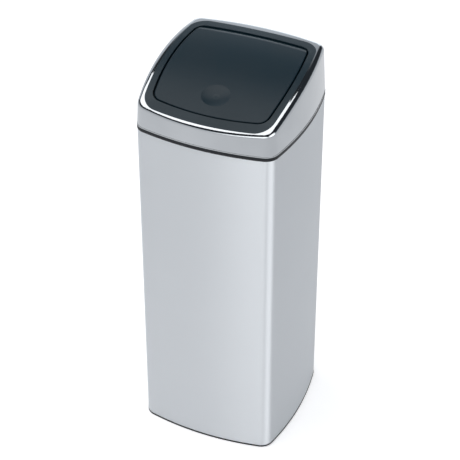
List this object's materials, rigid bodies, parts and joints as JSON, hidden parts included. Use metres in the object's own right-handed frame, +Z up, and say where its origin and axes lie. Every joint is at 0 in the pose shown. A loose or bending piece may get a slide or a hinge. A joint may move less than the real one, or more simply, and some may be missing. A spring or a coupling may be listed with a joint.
{
  "type": "touch-top kitchen bin",
  "caption": "Tall square steel bin with bowed sides, an arched lid with a spring-open push flap, an inner bucket with a bail and a carry grip at the back.",
  "frame": {"origin": "on the floor under the middle of the steel body", "axes": "+Z up, front (the side where the flap is pressed) towards -Y, +X to the right of someone who faces the front"},
  "size_m": [0.2414, 0.2657, 0.6413],
  "materials": {
    "steel_satin": "satin brushed",
    "steel_polished": "polished",
    "black_plastic": "fine matt",
    "dark_plastic": "satin, blue-grey",
    "grey_plastic": "fine matt",
    "white_plastic": "gloss",
    "rubber": "matt",
    "zinc_steel": "zinc plated",
    "spring_steel": "bright drawn",
    "magnet": "nickel plated"
  },
  "bodies": {
    "bin": {"body_shell": "steel_satin", "base_ring": "black_plastic", "foot_ring": "rubber", "floor_panel": "zinc_steel", "top_ring": "black_plastic", "lid_hinge_pin": "zinc_steel", "rear_grip": "black_plastic", "grip_screws": "zinc_steel", "inner_bucket": "grey_plastic"},
    "bail": {"bail": "zinc_steel", "bail_grip": "black_plastic"},
    "lid_unit": {"lid_ring": "black_plastic", "lid_ring_screws": "zinc_steel", "lid_housing": "steel_polished", "lid_frame": "dark_plastic", "ledge_bumpers": "rubber", "flap_hinge_rod": "zinc_steel", "flap_spring": "spring_steel", "damper_body": "black_plastic", "damper_screws": "zinc_steel", "latch_housing": "grey_plastic", "latch_cap": "grey_plastic", "latch_screws": "zinc_steel", "latch_spring": "spring_steel"},
    "damper_pinion": {"damper_pinion": "white_plastic"},
    "latch_plunger": {"latch_plunger": "white_plastic", "latch_magnet": "magnet"},
    "flap": {"flap_cover": "dark_plastic", "flap_liner": "black_plastic", "flap_screws": "zinc_steel", "gear_sector": "white_plastic", "sector_screw": "zinc_steel", "strike_plate": "zinc_steel", "strike_screws": "zinc_steel"}
  },
  "joints": [
    {"name": "lid_unit_hinge", "type": "hinge", "parent": "bin", "child": "lid_unit", "pos_m": [0, 0.1265, 0.56245], "axis": [-1, 0, 0], "range_deg": [0, 78]},
    {"name": "flap_hinge", "type": "hinge", "parent": "lid_unit", "child": "flap", "pos_m": [0, 0.0525, 0.63244], "axis": [-1, 0, 0], "range_deg": [0, 85]},
    {"name": "damper_spin", "type": "hinge", "parent": "lid_unit", "child": "damper_pinion", "pos_m": [-0.0225, 0.03641, 0.61894], "axis": [-1, 0, 0], "range_deg": [-175, 0]},
    {"name": "latch_press", "type": "slide", "parent": "lid_unit", "child": "latch_plunger", "axis": [0, 0, -1], "range_m": [0, 0.0025], "stiffness_N_per_m": 400, "springref_m": -0.003, "deforming": ["latch_spring"]},
    {"name": "bail_swing", "type": "hinge", "parent": "bin", "child": "bail", "pos_m": [0, 0, 0.4595], "axis": [1, 0, 0], "range_deg": [0, 180]}
  ],
  "couplings": [
    {"joint": "damper_spin", "follows": "flap_hinge", "ratio": -2}
  ]
}
